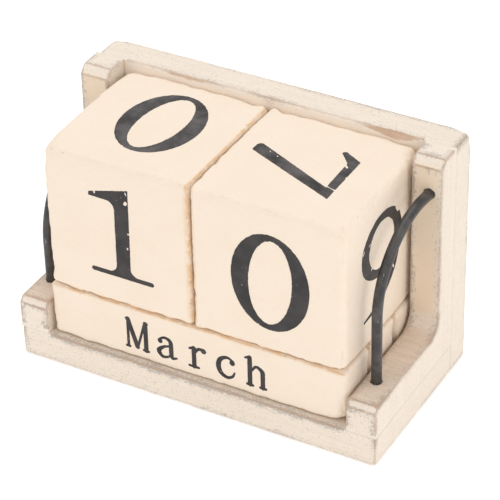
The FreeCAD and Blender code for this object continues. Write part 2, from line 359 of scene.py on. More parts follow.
def cap(points, edge, first, count, seam, flip):
    """Close one flat side of the bracket with well-shaped triangles over a grid of inner points."""
    rim = points[first:first + count, 1:]
    steps = [np.arange(rim[:, n].min() + 1, rim[:, n].max(), 1.3) for n in range(2)]
    grid = np.array(np.meshgrid(*steps)).reshape(2, -1).T
    gaps = np.linalg.norm(grid[:, None] - rim[None], axis=2)
    nearest, gaps = gaps.argmin(axis=1), gaps.min(axis=1)
    inside = ((grid - rim[nearest]) * inward_normals(rim)[nearest]).sum(axis=1) > 0.6
    keep = (gaps > 0.8) & inside
    grid, gaps, nearest = grid[keep], gaps[keep], nearest[keep]
    flat = [Vector(p) for p in np.concatenate([rim, grid])]
    ring = [(n, (n + 1) % count) for n in range(count)]
    places, _, triangles, origins = delaunay_2d_cdt(flat, ring, [list(range(count))], 1, 1e-7)[:4]
    numbers, extra, extra_edge = [], [], []
    for place, sources in zip(places, origins):
        if sources and sources[0] < count:
            numbers.append(first + sources[0])
        else:
            numbers.append(len(points) + len(extra))
            extra.append([points[first, 0], *place])
            source = sources[0] - count
            extra_edge.append(gaps[source] + 0.8 + 6 * seam[nearest[source]])
    faces = [[numbers[v] for v in triangle] for triangle in triangles]
    faces = [face[::-1] if flip else face for face in faces]
    return np.concatenate([points, np.array(extra)]), np.concatenate([edge, extra_edge]), faces


# ---- numerals and letters
# Each glyph is a few strokes in millimetres, with the baseline at y = 0 and x = 0 at its middle.
# ("pen", (x, y, width), ...) is a smooth round-ended stroke and ("rule", ...) a straight one.
# ("ring", cx, cy, rx, ry, hole_rx, hole_ry, lean) is an ellipse with an elliptical hole.
# ("dot", cx, cy, radius), ("slab", x0, x1, y, width) a level serif, and ("facet", points) a
# convex patch. ("nook", x, y, radius, sx, sy) fills the inner corner at x, y towards (sx, sy).
# ("cut", (x, y, width), ...) is a straight nick where the ink is missing.

DIGITS = {
    "0": [("ring", 0, 20.2, 15.7, 20.5, 8.7, 18.0, 4), ("cut", (-5.6, -0.4, 0.9), (-4.9, 0.9, 0.5))],
    "1": [("facet", (-1.5, 1), (4.4, 1), (4.9, 38.4), (-1.2, 37)), ("slab", -12.3, 14.1, 0.95, 1.9),
          ("nook", -1.4, 1.8, 3.6, -1, 1), ("nook", 4.3, 1.8, 3.6, 1, 1),
          ("facet", (-11.9, 33.0), (-2.0, 32.8), (4.4, 32.8), (5.0, 39.4), (-11.7, 34.7)),
          ("nook", -1.3, 32.9, 3.4, -1, -1), ("cut", (-9.4, 35.6, 0.7), (-9.2, 34.6, 0.6)),
          ("cut", (3.9, 38.3, 0.5), (4.2, 37.2, 0.5)), ("cut", (3.9, 33.9, 1.3), (3.5, 33.3, 1.2)),
          ("cut", (4.2, 20.6, 0.6), (4.2, 20.3, 0.6)), ("cut", (3.6, 14.2, 0.6), (3.6, 13.6, 0.5))],
    "2": [("dot", -9.2, 30.4, 3.1),
          ("pen", (-11.3, 31.5, 2.2), (-8.6, 36.4, 2.0), (-1, 38.4, 2.4), (7.4, 35.6, 5.2), (9.2, 28.5, 6.4),
           (4.5, 19.5, 4.6), (-4.5, 9.8, 2.4), (-11.4, 2.2, 1.6)),
          ("facet", (-12.6, 0), (11.2, 0), (11.6, 4.6), (-11.2, 4.6)),
          ("pen", (10.2, 3.2, 3.2), (11.8, 6.6, 2.0), (12.6, 10.6, 1.4))],
    "3": [("dot", -8.6, 31.6, 2.9),
          ("pen", (-10.4, 32.8, 2.0), (-6.5, 37.2, 1.9), (0.5, 38.3, 2.4), (6.8, 34.8, 5.2),
           (6.9, 27.8, 5.4), (1.6, 22.3, 2.2), (-2.8, 21.4, 1.7)),
          ("pen", (-1.5, 21.5, 1.7), (5, 20.2, 3.4), (9.3, 12.8, 6.4), (6, 4.2, 5.0), (-1.5, 0.9, 2.2),
           (-8.2, 2.4, 1.9), (-11.2, 6.4, 2.0)), ("dot", -9.2, 7.0, 3.0)],
    "4": [("facet", (2.2, 1), (8.0, 1), (8.0, 38.6), (2.6, 38.6)), ("slab", -3.6, 13.2, 0.95, 1.9),
          ("nook", 2.3, 1.8, 2.6, -1, 1), ("nook", 7.9, 1.8, 2.6, 1, 1),
          ("rule", (3.6, 37.8, 1.7), (-12.6, 11.2, 1.7)), ("slab", -13.0, 13.2, 10.8, 2.6)],
    "5": [("facet", (-8.4, 34.4), (9.0, 35.0), (10.6, 38.8), (-8.4, 38.8)),
          ("rule", (-7.6, 37.6, 1.9), (-9.0, 20.2, 1.7)),
          ("pen", (-9.0, 20.0, 1.7), (-3.2, 24.2, 2.4), (4.8, 23.0, 4.6), (9.2, 14.2, 6.6), (5.6, 4.4, 5.0),
           (-1.8, 0.9, 2.2), (-8.2, 2.6, 1.9), (-11.0, 6.2, 2.0)), ("dot", -9.0, 6.8, 3.0)],
    "7": [("facet", (-9.2, 34.6), (12.5, 34.9), (15.0, 38.5), (-11.0, 38.5)),
          ("facet", (-15.0, 31.2), (-14.6, 30.2), (-13.6, 29.9), (-8.3, 34.7), (-8.3, 38.5), (-11.0, 38.5)),
          ("facet", (-6.6, 1.8), (-6.3, 0.7), (-5.2, 0), (-2.0, -0.1), (-1.4, 0.3), (15.0, 38.5),
           (9.9, 37.6)), ("cut", (-7.2, 34.6, 0.7), (-5.9, 35.7, 0.9)),
          ("cut", (-0.2, 38.8, 1.2), (0.3, 38.6, 0.8)), ("cut", (7.8, 34.4, 1.0), (8.1, 35.6, 0.4)),
          ("cut", (8.1, 35.6, 0.35), (8.7, 37.4, 0.35)), ("cut", (8.7, 37.4, 0.4), (9.0, 38.8, 1.1)),
          ("cut", (-3.4, 6.3, 0.4), (-3.0, 6.6, 0.4)), ("cut", (-1.6, 10.2, 0.5), (-1.2, 10.5, 0.4))],
    "8": [("ring", 0, 29.4, 9.8, 9.4, 5.0, 7.9, 3), ("ring", 0, 10.9, 12.6, 11.2, 6.8, 9.2, -3)],
    "9": [("ring", -1.4, 26.9, 15.7, 12.9, 9.8, 9.6, 6),
          ("pen", (11.3, 27.5, 4.8), (11.0, 20.5, 5.6), (7.3, 11.6, 5.4), (0.7, 4.9, 3.6), (-6.5, 1.6, 1.8),
           (-14.6, 0.5, 1.1)), ("cut", (-15.9, 30.4, 0.8), (-15.3, 31.6, 0.9)),
          ("cut", (-11.4, 31.6, 0.7), (-10.4, 31.9, 0.6)), ("cut", (-9.3, 20.4, 0.8), (-8.6, 21.0, 0.6)),
          ("cut", (9.9, 36.0, 1.2), (11.3, 33.6, 1.0)), ("cut", (7.6, 12.4, 1.0), (8.6, 10.6, 0.8))],
}

STEM, HAIR, SERIF = 1.9, 1.15, 1.15


def stem(x, low, high, width=STEM):
    return ("rule", (x, low, width), (x, high, width))


def foot(x, reach=1.9):
    return ("slab", x - reach, x + reach, 0.55, SERIF)


def flag(x, y):
    """The slanting serif at the top left of a lower-case stem."""
    return ("rule", (x - 1.9, y - 0.9, 0.95), (x, y, 1.3))


def hump(start, end, top):
    """An arch that leaves one stem and comes down as the next."""
    return ("pen", (start, top - 3.2, 0.9), (start + (end - start) * 0.45, top - 0.5, 1.25),
            (end - 0.25, top - 1.9, STEM), (end, top - 4.2, STEM))


X_TOP, CAP = 9.9, 13.6
LETTERS = {
    "J": [("slab", -0.6, 4.0, CAP - 0.55, SERIF),
          ("pen", (1.8, CAP - 0.8, STEM), (1.8, 6.4, STEM), (1.6, 2.6, 1.8), (-0.6, 0.5, 1.3),
           (-3.0, 1.5, 1.1), (-3.6, 3.6, 1.1)), ("dot", -3.3, 3.6, 1.1)],
    "F": [stem(-2.2, 0.6, CAP - 0.6), foot(-2.2), ("slab", -4.0, 4.0, CAP - 0.55, SERIF),
          ("rule", (4.0, CAP - 0.6, 1.0), (4.0, CAP - 3.4, 1.0)), ("slab", -2.2, 2.0, 7.2, HAIR),
          ("rule", (2.0, 8.7, 1.0), (2.0, 5.7, 1.0))],
    "M": [stem(-3.7, 0.6, CAP - 0.6, 1.2), foot(-3.8, 1.2),
          ("rule", (-3.6, CAP - 0.6, 2.0), (0.1, 1.2, 2.0)),
          ("rule", (0.3, 1.2, 1.0), (3.6, CAP - 0.6, 1.1)), stem(3.9, 0.6, CAP - 0.6), foot(3.9, 1.6),
          ("slab", -4.8, -3.4, CAP - 0.55, 1.1), ("slab", 3.4, 5.1, CAP - 0.55, 1.1)],
    "A": [("rule", (-0.2, CAP, 1.3), (-3.8, 0.6, 1.15)), ("rule", (0.1, CAP - 0.2, 2.0), (3.7, 0.6, STEM)),
          ("slab", -2.4, 2.4, 4.4, HAIR), foot(-3.8, 1.4), foot(3.7, 1.6)],
    "S": [("pen", (3.4, 10.2, 1.1), (1.8, 12.7, 1.2), (-0.8, 13.2, 1.3), (-3.2, 10.9, 1.9),
           (-1.4, 8.0, STEM), (1.7, 6.3, STEM), (3.4, 3.6, 1.9), (1.0, 0.7, 1.3), (-1.8, 0.9, 1.2),
           (-3.6, 3.6, 1.1)), ("rule", (3.6, 9.8, 1.0), (3.6, CAP, 1.0)),
          ("rule", (-3.7, 4.0, 1.0), (-3.7, 0.2, 1.0))],
    "O": [("ring", 0, 6.8, 4.5, 7.0, 2.7, 6.0, 0)],
    "N": [stem(-3.2, 0.6, CAP - 0.6, 1.2), foot(-3.4, 1.3),
          ("rule", (-3.2, CAP - 0.7, 1.9), (3.2, 0.9, 1.9)), stem(3.3, 0.6, CAP - 0.6, 1.2),
          ("slab", 1.9, 4.7, CAP - 0.55, 1.1), ("slab", -4.6, -2.8, CAP - 0.55, 1.1)],
    "D": [stem(-2.6, 0.6, CAP - 0.6), ("slab", -4.4, 0, 0.55, SERIF), ("slab", -4.4, 0, CAP - 0.55, SERIF),
          ("pen", (-0.2, CAP - 0.55, 1.1), (2.6, 11.6, 1.7), (3.9, 6.8, STEM), (2.6, 2.0, 1.7),
           (-0.2, 0.55, 1.1))],
    "a": [("dot", -2.5, 7.5, 1.05),
          ("pen", (-2.9, 8.2, 0.9), (-0.6, 9.5, 1.2), (1.7, 8.6, 1.7), (2.1, 6.2, STEM), (2.1, 3.0, STEM),
           (2.5, 1.0, 1.3), (4.3, 1.6, 0.9)),
          ("pen", (2.0, 6.3, 0.9), (-0.9, 5.3, 1.2), (-3.2, 3.0, 1.9), (-1.8, 0.7, 1.5), (0.6, 1.1, 1.0),
           (2.0, 2.6, 0.9))],
    "b": [stem(-2.4, 0.6, CAP - 0.6), flag(-2.3, CAP - 0.3),
          ("pen", (-2.2, 6.9, 1.0), (0.2, 9.2, 1.3), (3.0, 7.4, 1.8), (3.3, 4.9, 2.0), (2.8, 2.2, 1.8),
           (0.2, 0.6, 1.2), (-2.2, 1.8, 1.0))],
    "c": [("dot", 2.7, 7.6, 1.15),
          ("pen", (3.2, 8.4, 0.9), (0.6, 9.5, 1.3), (-2.2, 8.0, 1.8), (-3.1, 5.0, 2.1), (-2.2, 1.9, 1.9),
           (0.3, 0.5, 1.5), (2.6, 1.4, 1.1), (3.6, 3.4, 0.8))],
    "e": [("pen", (-2.9, 5.3, 1.1), (0, 5.3, 1.1), (2.9, 5.3, 1.1)),
          ("pen", (3.0, 5.4, 1.5), (2.4, 8.2, 1.6), (0.1, 9.5, 1.3), (-2.3, 8.0, 1.8), (-3.1, 5.0, 2.0),
           (-2.2, 1.9, 1.8), (0.4, 0.5, 1.4), (3.4, 2.7, 0.9))],
    "g": [("ring", -0.6, 6.7, 3.0, 3.1, 1.5, 2.0, 0),
          ("pen", (1.4, 8.8, 0.9), (2.6, 9.9, 1.0), (3.8, 9.6, 1.2)),
          ("pen", (-2.4, 4.6, 1.0), (-3.2, 3.1, 1.2), (-1.8, 2.0, 1.6), (1.8, 1.6, 1.7), (3.3, -0.4, 1.3),
           (1.2, -2.4, 1.1), (-2.2, -2.4, 1.1), (-3.6, -0.7, 1.2), (-2.2, 1.2, 1.0))],
    "h": [stem(-2.6, 0.6, CAP - 0.8), flag(-2.5, CAP - 0.4), foot(-2.6, 1.7), hump(-2.2, 2.7, X_TOP),
          stem(2.7, 0.6, 5.9), foot(2.8, 1.7)],
    "i": [stem(0.2, 0.6, X_TOP - 0.8), ("slab", -2.2, 0, X_TOP - 0.7, 1.1), foot(0.2, 2.9),
          ("dot", 0.1, 12.6, 1.25)],
    "l": [stem(0.2, 0.6, CAP - 0.6), ("slab", -2.2, 0, CAP - 0.55, 1.1), foot(0.2, 2.9)],
    "m": [stem(-4.0, 0.6, X_TOP - 0.9, 1.5), flag(-3.9, X_TOP - 0.6), foot(-4.0, 1.2),
          hump(-3.7, 0.0, X_TOP), stem(0.0, 0.6, 5.9, 1.6), foot(0.0, 1.1), hump(0.3, 4.0, X_TOP),
          stem(4.0, 0.6, 5.9, 1.6), foot(4.1, 1.2)],
    "n": [stem(-2.6, 0.6, X_TOP - 0.9), flag(-2.5, X_TOP - 0.6), foot(-2.6, 1.7), hump(-2.2, 2.7, X_TOP),
          stem(2.7, 0.6, 5.9), foot(2.8, 1.7)],
    "o": [("ring", 0, 5.0, 3.9, 5.0, 2.2, 4.0, 0)],
    "p": [stem(-2.5, -1.2, X_TOP - 0.9), flag(-2.4, X_TOP - 0.6), ("slab", -4.2, -0.8, -1.5, 1.0),
          ("pen", (-2.2, 7.4, 1.0), (0.2, 9.3, 1.3), (3.0, 7.5, 1.8), (3.3, 5.0, 2.0), (2.8, 2.3, 1.8),
           (0.2, 0.7, 1.2), (-2.2, 1.9, 1.0))],
    "r": [stem(-0.8, 0.6, X_TOP - 0.9), flag(-0.7, X_TOP - 0.6), ("slab", -3.4, 1.6, 0.55, SERIF),
          ("pen", (-0.4, 6.9, 0.9), (1.0, 9.0, 1.3), (3.0, 9.3, 1.5)), ("dot", 3.3, 8.8, 1.15)],
    "s": [("pen", (2.6, 7.6, 0.9), (1.0, 9.3, 1.1), (-1.0, 9.3, 1.2), (-2.4, 7.5, 1.6), (-0.6, 5.5, 1.7),
           (1.4, 4.4, 1.7), (2.6, 2.5, 1.6), (0.8, 0.6, 1.2), (-1.2, 0.6, 1.1), (-2.7, 2.6, 0.9)),
          ("rule", (2.8, 7.2, 0.9), (2.8, 9.8, 0.9)), ("rule", (-2.9, 2.8, 0.9), (-2.9, 0.2, 0.9))],
    "t": [("pen", (-1.0, 12.2, 1.1), (-0.8, 9.0, STEM), (-0.8, 3.4, STEM), (0.4, 0.7, 1.5), (2.4, 1.0, 1.1),
           (3.3, 2.8, 0.8)), ("slab", -2.9, 2.5, 9.3, HAIR)],
    "u": [stem(-2.6, 3.8, X_TOP - 0.8), ("slab", -4.3, -2.6, X_TOP - 0.7, 1.1),
          ("pen", (-2.6, 4.0, STEM), (-2.2, 1.5, 1.7), (0, 0.6, 1.3), (2.4, 2.6, 1.0)),
          stem(2.5, 0.6, X_TOP - 0.8), ("slab", 0.9, 2.5, X_TOP - 0.7, 1.1), ("slab", 2.5, 4.3, 0.55, 1.1)],
    "v": [("rule", (-3.2, X_TOP - 0.8, STEM), (0.1, 0.9, 1.8)),
          ("rule", (3.2, X_TOP - 0.8, 1.1), (0.3, 0.9, 1.1)), ("slab", -4.8, -1.6, X_TOP - 0.6, 1.1),
          ("slab", 1.8, 4.7, X_TOP - 0.6, 1.1)],
    "y": [("rule", (-3.0, X_TOP - 0.8, STEM), (0.4, 1.4, 1.7)),
          ("pen", (3.2, X_TOP - 0.8, 1.1), (1.4, 4.0, 1.2), (0.2, 0.2, 1.2), (-1.4, -2.0, 1.1),
           (-3.0, -1.9, 1.2)), ("dot", -2.9, -1.4, 1.0), ("slab", -4.6, -1.4, X_TOP - 0.6, 1.1),
          ("slab", 1.8, 4.6, X_TOP - 0.6, 1.1)],
}


def to_segment(x, y, start, end):
    """Distance outside a straight round-ended stroke between two (x, y, width) points."""
    run = (end[0] - start[0], end[1] - start[1])
    length = run[0] ** 2 + run[1] ** 2 + 1e-12
    part = np.clip(((x - start[0]) * run[0] + (y - start[1]) * run[1]) / length, 0, 1)
    gap = np.hypot(x - start[0] - part * run[0], y - start[1] - part * run[1])
    return gap - (start[2] + (end[2] - start[2]) * part) / 2


def smooth_path(points, steps=8):
    """Points along a Catmull-Rom line through the given (x, y, width) points."""
    fixed = [np.array(p, float) for p in points]
    fixed = [2 * fixed[0] - fixed[1]] + fixed + [2 * fixed[-1] - fixed[-2]]
    made = []
    for a, b, c, d in zip(fixed, fixed[1:], fixed[2:], fixed[3:]):
        for part in np.arange(steps) / steps:
            made.append(0.5 * (2 * b + (c - a) * part + (2 * a - 5 * b + 4 * c - d) * part**2
                               + (3 * b - a - 3 * c + d) * part**3))
    return made + [fixed[-2]]


def ellipse(x, y, cx, cy, rx, ry, lean):
    """Roughly the distance outside an ellipse that leans by some degrees."""
    turn = math.radians(lean)
    u = (x - cx) * math.cos(turn) - (y - cy) * math.sin(turn)
    v = (x - cx) * math.sin(turn) + (y - cy) * math.cos(turn)
    return (np.hypot(u / rx, v / ry) - 1) * min(rx, ry)


def stroke_distance(x, y, stroke):
    kind, rest = stroke[0], stroke[1:]
    if kind in ("pen", "rule", "cut"):
        path = smooth_path(rest) if kind == "pen" else rest
        return np.minimum.reduce([to_segment(x, y, a, b) for a, b in zip(path, path[1:])])
    if kind == "dot":
        return np.hypot(x - rest[0], y - rest[1]) - rest[2]
    if kind == "slab":
        x0, x1, level, width = rest
        return to_segment(x, y, (x0 + width / 2, level, width), (x1 - width / 2, level, width))
    if kind == "ring":
        cx, cy, rx, ry, hole_rx, hole_ry, lean = rest
        return np.maximum(ellipse(x, y, cx, cy, rx, ry, 0), -ellipse(x, y, cx, cy, hole_rx, hole_ry, lean))
    if kind == "nook":
        cx, cy, radius, sx, sy = rest
        square = np.maximum.reduce([-(x - cx) * sx - 0.3, (x - cx) * sx - radius,
                                    -(y - cy) * sy - 0.3, (y - cy) * sy - radius])
        return np.maximum(square, radius - np.hypot(x - cx - sx * radius, y - cy - sy * radius))
    sides = []
    for (x0, y0), (x1, y1) in zip(rest, rest[1:] + rest[:1]):
        length = math.hypot(x1 - x0, y1 - y0)
        sides.append(((x - x0) * (y1 - y0) - (y - y0) * (x1 - x0)) / length)
    return np.maximum.reduce(sides)


def fill_inside(field, xs, ys):
    """Flat mesh of the region where the field is negative, cut smoothly along its edge."""
    points, index, faces = [], {}, []

    def corner(i, j):
        if (i, j) not in index:
            index[i, j] = len(points)
            points.append((xs[i], ys[j]))
        return index[i, j]

    def crossing(a, b):
        key = (min(a, b), max(a, b))
        if key not in index:
            (i0, j0), (i1, j1) = key
            part = field[j0, i0] / (field[j0, i0] - field[j1, i1])
            index[key] = len(points)
            points.append((xs[i0] + (xs[i1] - xs[i0]) * part, ys[j0] + (ys[j1] - ys[j0]) * part))
        return index[key]

    inside = field < 0
    busy = inside[:-1, :-1] | inside[1:, :-1] | inside[:-1, 1:] | inside[1:, 1:]
    for j, i in zip(*np.nonzero(busy)):
        ring, cell = [], [(i, j), (i + 1, j), (i + 1, j + 1), (i, j + 1)]
        for here, following in zip(cell, cell[1:] + cell[:1]):
            if inside[here[1], here[0]]:
                ring.append(corner(*here))
            if inside[here[1], here[0]] != inside[following[1], following[0]]:
                ring.append(crossing(here, following))
        faces.append(ring)
    return np.array(points), faces


def inked(strokes, reach, low, high, step, fray, seed):
    """One printed glyph as a flat mesh: its strokes with a frayed edge and specks of bare paint."""
    xs, ys = np.arange(-reach, reach, step), np.arange(low, high, step)
    x, y = np.meshgrid(xs, ys)
    field = np.minimum.reduce([stroke_distance(x, y, stroke) for stroke in strokes if stroke[0] != "cut"])
    for stroke in strokes:
        if stroke[0] == "cut":
            field = np.maximum(field, -stroke_distance(x, y, stroke))
    flat = np.stack([x, y, np.full_like(x, seed * 3.7)], axis=-1)
    field = field + fray * rough(flat, 8 * fray, seed)
    specks = rough(flat, 14 * fray, seed + 50) - 0.8
    return fill_inside(np.maximum(field, specks), xs, ys)


TOP_FADE_AND_REFLECTION, SIDE_FADE = 0.55, 0.08  # how far the ink is greyed: on the sides by wear, on the top faces by wear and much more by a painted reflection of the bright surroundings


def print_on(name, body, material, form, prints):
    """Ink on a block. Each print is (flat points, faces, place, right, up) in millimetres."""
    points, faces, fade_and_reflection = [], [], []
    for flat, cells, place, right, up, out in prints:
        ideal = place + flat[:, :1] * right + flat[:, 1:] * up
        raised = form(ideal) + INK_RISE * out
        # the top faces' ink is greyed more: a painted reflection
        fade_and_reflection += [TOP_FADE_AND_REFLECTION if out[2] > 0.5 else SIDE_FADE] * len(flat)
        faces += [[v + len(points) for v in cell] for cell in cells]
        points += raised.tolist()
    piece = new_piece(name, points, faces, material, {"fade_and_reflection": fade_and_reflection})
    solid = piece.modifiers.new("thickness", "SOLIDIFY")
    solid.thickness, solid.offset = INK_THICKNESS * MM, -1
    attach(piece, body)
    return piece


# ---- materials


class Value:
    """A number or colour worked out in a material, so that paint reads as plain arithmetic."""

    def __init__(self, tree, socket):
        self.tree, self.socket = tree, socket

    def math(self, operation, other):
        made = node(self.tree, "Math", {0: self, 1: other}, operation=operation)
        return Value(self.tree, made.outputs[0])

    def __add__(self, other):
        return self.math("ADD", other)

    def __sub__(self, other):
        return self.math("SUBTRACT", other)

    def __mul__(self, other):
        return self.math("MULTIPLY", other)


def node(tree, kind, inputs=None, **settings):
    """A shader node with its settings and inputs; an input is a plain value or a Value."""
    made = tree.nodes.new("ShaderNode" + kind)
    for name, value in settings.items():
        setattr(made, name, value)
    for socket, value in (inputs or {}).items():
        if isinstance(value, Value):
            tree.links.new(value.socket, made.inputs[socket])
        else:
            made.inputs[socket].default_value = value
    return made


def new_material(name, roughness, specular=0.5, metallic=0.0):
    material = bpy.data.materials.new(name)
    material.use_nodes = True
    tree = material.node_tree
    tree.nodes.clear()
    shader = node(tree, "BsdfPrincipled", {"Specular IOR Level": specular, "Metallic": metallic,
                                           "Roughness": roughness})
    node(tree, "OutputMaterial", {"Surface": Value(tree, shader.outputs[0])})
    return material, tree, shader


def own_space(tree):
    """The place on the piece, in metres."""
    return Value(tree, node(tree, "TexCoord").outputs["Object"])


def texture(tree, wavelength, stretch=(1, 1, 1), detail=3.0, roughness=0.55, shift=0.0):
    """Noise from 0 to 1 over the piece's own space; wavelength in mm, stretched along an axis."""
    moved = node(tree, "Mapping", {"Vector": own_space(tree), "Scale": [1 / part for part in stretch],
                                   "Location": (shift, shift, shift)})
    made = node(tree, "TexNoise", {"Vector": Value(tree, moved.outputs[0]), "Scale": 1 / MM / wavelength,
                                   "Detail": detail, "Roughness": roughness})
    return Value(tree, made.outputs[0])


def ease(value, low, high, to_low=0.0, to_high=1.0):
    """Smooth step of a value between two limits."""
    made = node(value.tree, "MapRange", {0: value, 1: low, 2: high, 3: to_low, 4: to_high},
                interpolation_type="SMOOTHSTEP")
    return Value(value.tree, made.outputs[0])


def blend(amount, first, second):
    """From the first colour at 0 to the second at 1."""
    made = node(amount.tree, "Mix", {0: amount, 6: first, 7: second}, data_type="RGBA")
    return Value(amount.tree, made.outputs[2])


def measure(tree, name):
    """One of the numbers that a piece's points carry."""
    return Value(tree, node(tree, "Attribute", attribute_name=name).outputs["Fac"])


def feed(shader, name, value):
    value.tree.links.new(value.socket, shader.inputs[name])


def relief(shader, height, depth):
    bump = node(height.tree, "Bump", {"Height": height, "Distance": depth * MM, "Strength": 1.0})
    feed(shader, "Normal", Value(height.tree, bump.outputs[0]))


CREAM, CREAM_SHADE = (0.895, 0.765, 0.63, 1), (0.875, 0.73, 0.585, 1)
CREAM_GAP_SHADE, CRUMB = (0.74, 0.43, 0.18, 1), (0.38, 0.34, 0.27, 1)
FRAME_LIGHT, FRAME_SHADE = (0.85, 0.75, 0.64, 1), (0.79, 0.67, 0.555, 1)
PAINTED_WARM_SHADE, PAINTED_BOUNCE_LIGHT = (0.87, 0.695, 0.51, 1), (0.97, 0.87, 0.76, 1)  # painted warm shade on the brackets' upright fronts, and painted bounce light, lighter and warmer, on the back board's face behind the cubes
GREYED, RUBBED = (0.33, 0.30, 0.28, 1), (0.50, 0.35, 0.25, 1)
# the wood colours below also paint a warm shade onto the brackets' foot tops
BARE_WOOD_AND_SHADE, BARE_DARK_AND_SHADE, HOLE_SHADOW = (0.68, 0.47, 0.33, 1), (0.56, 0.37, 0.25, 1), (0.05, 0.045, 0.04, 1)
INK_DARK, INK_LIGHT, INK_WORN_AND_REFLECTION = (0.023, 0.020, 0.020, 1), (0.043, 0.038, 0.037, 1), (0.19, 0.175, 0.17, 1)
ROD_DARK, ROD_LIGHT, ROD_SCUFF = (0.045, 0.042, 0.040, 1), (0.095, 0.088, 0.083, 1), (0.30, 0.30, 0.30, 1)
BRAD_DARK, BRAD_LIGHT = (0.42, 0.42, 0.42, 1), (0.6, 0.6, 0.6, 1)
HOLE_SHADOW_REACH = (3.1, 2.6)  # the painted shadow round a rod, where it enters the wood, fades out and is full at these distances from its axis


def block_paint():
    """Thick cream paint with a pebbly skin, with a painted warm shade along the edges that lie in gaps, and
    crumbled here and there along its edges.
    """
    material, tree, shader = new_material("block_paint", 0.6, 0.35)
    colour = blend(ease(texture(tree, 18.0), 0.35, 0.7) * 0.5, CREAM, CREAM_SHADE)
    edge, painted_gap_shade = measure(tree, "edge"), measure(tree, "wear_and_gap_shade")
    # painted shade: a warm tan along the edges that lie in gaps, uneven in strength
    uneven = painted_gap_shade * ease(texture(tree, 3.4, detail=4.0), 0.34, 0.60, 0.25, 1.0)
    colour = blend(uneven * 0.8, colour, CREAM_GAP_SHADE)
    patchy = ease(texture(tree, 14.0, shift=0.7), 0.45, 0.66)
    near = ease(edge, 3.4, 0.8) * patchy.math("MAXIMUM", painted_gap_shade)
    crumbs = ease(texture(tree, 1.5, shift=0.3), 0.64, 0.72) * near
    feed(shader, "Base Color", blend(crumbs * 0.65, colour, CRUMB))
    pebbles = texture(tree, 0.9, detail=2.0) * 0.3 + texture(tree, 3.4, detail=2.5, shift=0.1)
    relief(shader, pebbles, 0.42)
    return material


def rod_gap(tree, hand):
    """Distance (mm) from a rod's axis where it enters a foot or an upright."""
    low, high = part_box(hand + "_handle_rod")
    radius = (high[0] - low[0]) / 2
    place = node(tree, "SeparateXYZ", {0: own_space(tree)})
    x, y, z = (Value(tree, socket) for socket in place.outputs)
    lengths = []
    for end_x, other in zip(ROD_ENDS[hand], (y - (low[1] + radius), z - (high[2] - radius))):
        across = x - end_x * MM
        lengths.append((across * across + other * other).math("POWER", 0.5))
    # a metre further away where the other end's hole is
    in_foot = lengths[0] + ease(z, (FOOT_TOP + 2) * MM, (FOOT_TOP + 3) * MM)
    in_upright = lengths[1] + ease(y, 0.0, MM, 1.0, 0.0)
    return in_foot.math("MINIMUM", in_upright) * (1 / MM)


def frame_paint(name, stretch, rod=None):
    """Thin chalky paint over wood whose grain runs along stretch, dry and rubbed along the edges, with
    painted warm shade and painted bounce light where a piece asks for them, and painted shadow round a
    bracket's rods.
    """
    material, tree, shader = new_material(name, 0.7, 0.3)
    grain = texture(tree, 1.1, stretch, detail=5.0, roughness=0.62)
    bands = texture(tree, 4.0, stretch, shift=0.2)
    lines = ease(grain * 0.6 + bands * 0.4, 0.42, 0.62)
    colour = blend(lines * 0.5, FRAME_LIGHT, FRAME_SHADE)
    edge, wear_and_gap_shade, warm = (measure(tree, label) for label in ("edge", "wear_and_gap_shade", "warm"))
    patchy = texture(tree, 16.0, detail=2.0, shift=0.6)
    weight = ease(wear_and_gap_shade + (patchy - 0.5) * 1.6, 0.1, 1.0)
    # painted light and shade: a warm shade tint on the brackets, a lighter bounce tint on the back board
    # behind the cubes
    colour = blend(warm, colour, PAINTED_WARM_SHADE if rod else PAINTED_BOUNCE_LIGHT)
    # grey dry brushing: fine specks, sparse on the open faces and crowding towards an edge
    specks = texture(tree, 0.42, tuple(part**0.35 for part in stretch), roughness=0.7, shift=0.9)
    drift = (texture(tree, 5.0, shift=0.5) - 0.5) * 4.0
    band = ease(edge + drift, 3.6, 0.4) * ease(weight, 0.0, 1.0, 0.25, 1.0)
    crowd = specks + band * 0.2 - warm * 0.08
    colour = blend(ease(crowd, 0.575, 0.70) * 0.6, colour, GREYED)
    colour = blend(band * 0.16, colour, GREYED)
    # a thin line of wood along the very edge
    wander = (texture(tree, 2.6, detail=4.0) - 0.5) * 1.5
    rubbed = ease(edge + wander, 1.1, 0.3)
    colour = blend(rubbed * ease(weight, 0.0, 0.7, 0.4, 0.8), colour, RUBBED)
    # wood colour: real bare wood in the planed slivers, painted warm shade on the brackets' foot tops
    wood = blend(ease(grain, 0.4, 0.62), BARE_WOOD_AND_SHADE, BARE_DARK_AND_SHADE)
    colour = blend(measure(tree, "bare_wood_and_shade") * 0.8, colour, wood)
    # painted shadow: a dark ragged ring round each rod where it enters a foot or an upright
    if rod:
        ragged = texture(tree, 1.6, detail=4.0) * 1.2
        colour = blend(ease(rod_gap(tree, rod) + ragged, *HOLE_SHADOW_REACH), colour, HOLE_SHADOW)
    feed(shader, "Base Color", colour)
    relief(shader, grain * 0.7 + texture(tree, 0.7) * 0.3 - rubbed * 0.5, 0.13)
    return material


